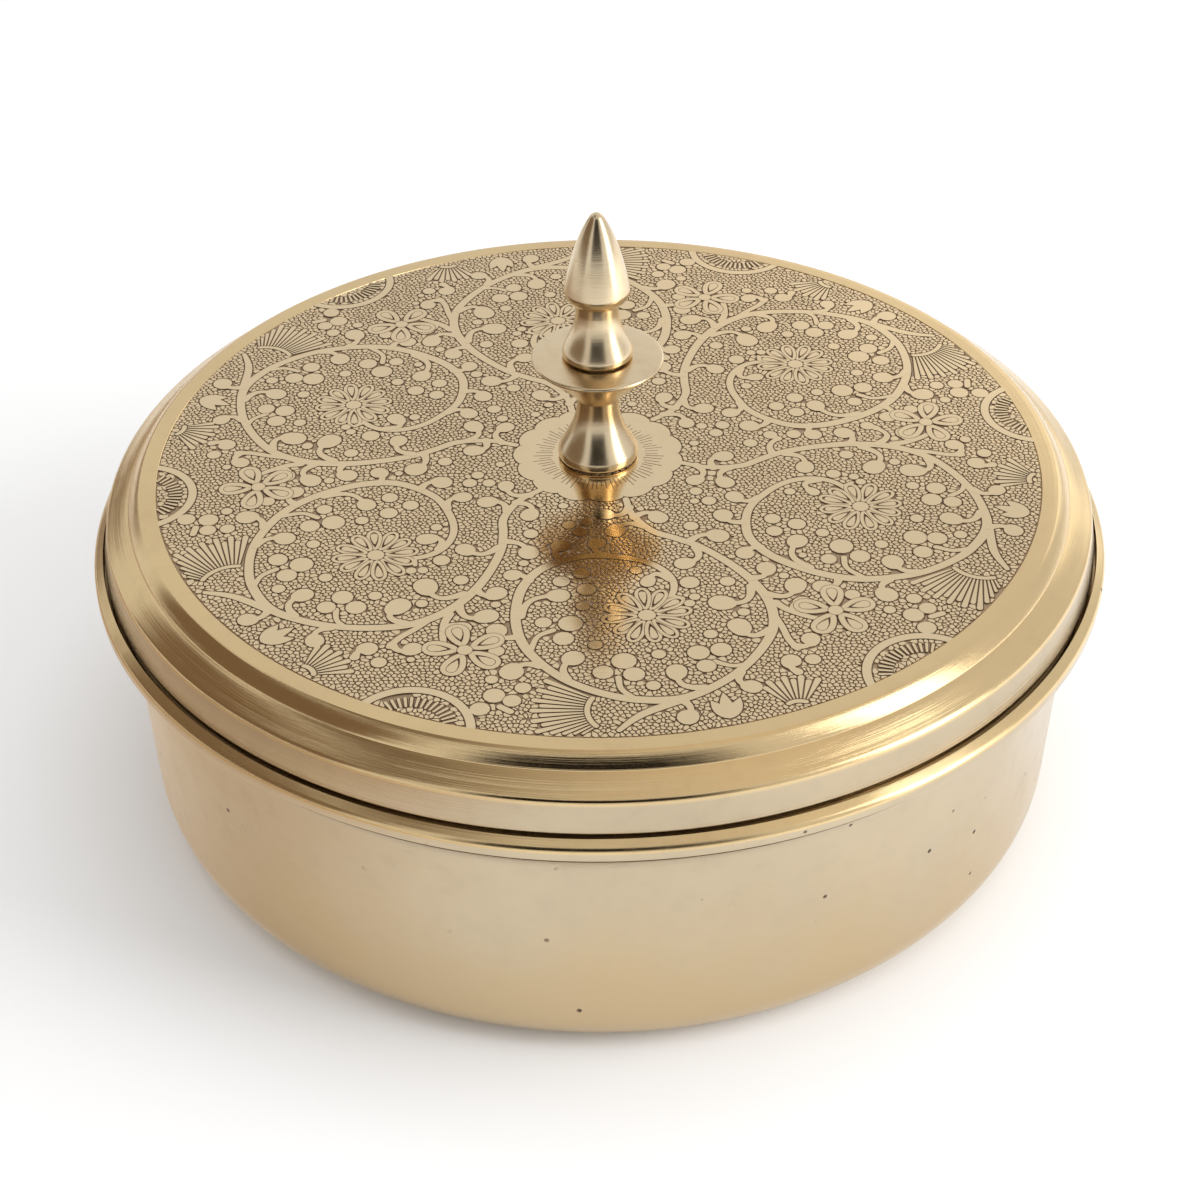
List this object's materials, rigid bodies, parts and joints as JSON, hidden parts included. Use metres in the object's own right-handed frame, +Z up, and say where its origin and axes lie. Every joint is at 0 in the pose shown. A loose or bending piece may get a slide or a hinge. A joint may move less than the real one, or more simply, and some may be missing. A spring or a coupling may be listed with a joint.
{
  "type": "spice box",
  "caption": "Round brass spice box with an engraved lift-off lid, a turned finial knob, a set of small spice cups that fill the body, and a spoon.",
  "frame": {"origin": "centre of the flat base, on the surface the box stands on", "axes": "+Z up through the knob, +X to the right and +Y away from the front"},
  "size_m": [0.127, 0.127, 0.0781],
  "materials": {
    "body_brass": "satin, brushed round, lightly worn",
    "lid_brass": "satin with engraved, darkened ornament",
    "knob_brass": "polished, turned",
    "hardware_brass": "plain machined",
    "cup_brass": "satin, brushed round",
    "spoon_brass": "polished"
  },
  "bodies": {
    "box": {"body": "body_brass"},
    "lid_and_knob": {"lid": "lid_brass", "knob_base": "knob_brass", "knob_finial": "knob_brass", "knob_stud": "hardware_brass", "knob_washer": "hardware_brass", "knob_nut": "hardware_brass"},
    "spoon": {"spoon": "spoon_brass"},
    "centre_cup": {"centre_cup": "cup_brass"},
    "ring_cup_1": {"ring_cup_1": "cup_brass"},
    "ring_cup_2": {"ring_cup_2": "cup_brass"},
    "ring_cup_3": {"ring_cup_3": "cup_brass"},
    "ring_cup_4": {"ring_cup_4": "cup_brass"},
    "ring_cup_5": {"ring_cup_5": "cup_brass"},
    "ring_cup_6": {"ring_cup_6": "cup_brass"}
  },
  "joints": [
    {"name": "lid_lift", "type": "slide", "parent": "box", "child": "lid_and_knob", "axis": [0, 0, 1], "range_m": [0, 0.15]},
    {"name": "spoon_lift", "type": "slide", "parent": "box", "child": "spoon", "axis": [0, 0, 1], "range_m": [0, 0.095]},
    {"name": "centre_cup_lift", "type": "slide", "parent": "box", "child": "centre_cup", "axis": [0, 0, 1], "range_m": [0, 0.06]},
    {"name": "ring_cup_1_lift", "type": "slide", "parent": "box", "child": "ring_cup_1", "axis": [0, 0, 1], "range_m": [0, 0.042]},
    {"name": "ring_cup_2_lift", "type": "slide", "parent": "box", "child": "ring_cup_2", "axis": [0, 0, 1], "range_m": [0, 0.042]},
    {"name": "ring_cup_3_lift", "type": "slide", "parent": "box", "child": "ring_cup_3", "axis": [0, 0, 1], "range_m": [0, 0.042]},
    {"name": "ring_cup_4_lift", "type": "slide", "parent": "box", "child": "ring_cup_4", "axis": [0, 0, 1], "range_m": [0, 0.042]},
    {"name": "ring_cup_5_lift", "type": "slide", "parent": "box", "child": "ring_cup_5", "axis": [0, 0, 1], "range_m": [0, 0.042]},
    {"name": "ring_cup_6_lift", "type": "slide", "parent": "box", "child": "ring_cup_6", "axis": [0, 0, 1], "range_m": [0, 0.042]}
  ],
  "couplings": [
    {"joint": "spoon_lift", "follows": "lid_lift", "ratio": 0.63333},
    {"joint": "centre_cup_lift", "follows": "lid_lift", "ratio": 0.4},
    {"joint": "ring_cup_1_lift", "follows": "lid_lift", "ratio": 0.28},
    {"joint": "ring_cup_2_lift", "follows": "lid_lift", "ratio": 0.28},
    {"joint": "ring_cup_3_lift", "follows": "lid_lift", "ratio": 0.28},
    {"joint": "ring_cup_4_lift", "follows": "lid_lift", "ratio": 0.28},
    {"joint": "ring_cup_5_lift", "follows": "lid_lift", "ratio": 0.28},
    {"joint": "ring_cup_6_lift", "follows": "lid_lift", "ratio": 0.28}
  ]
}
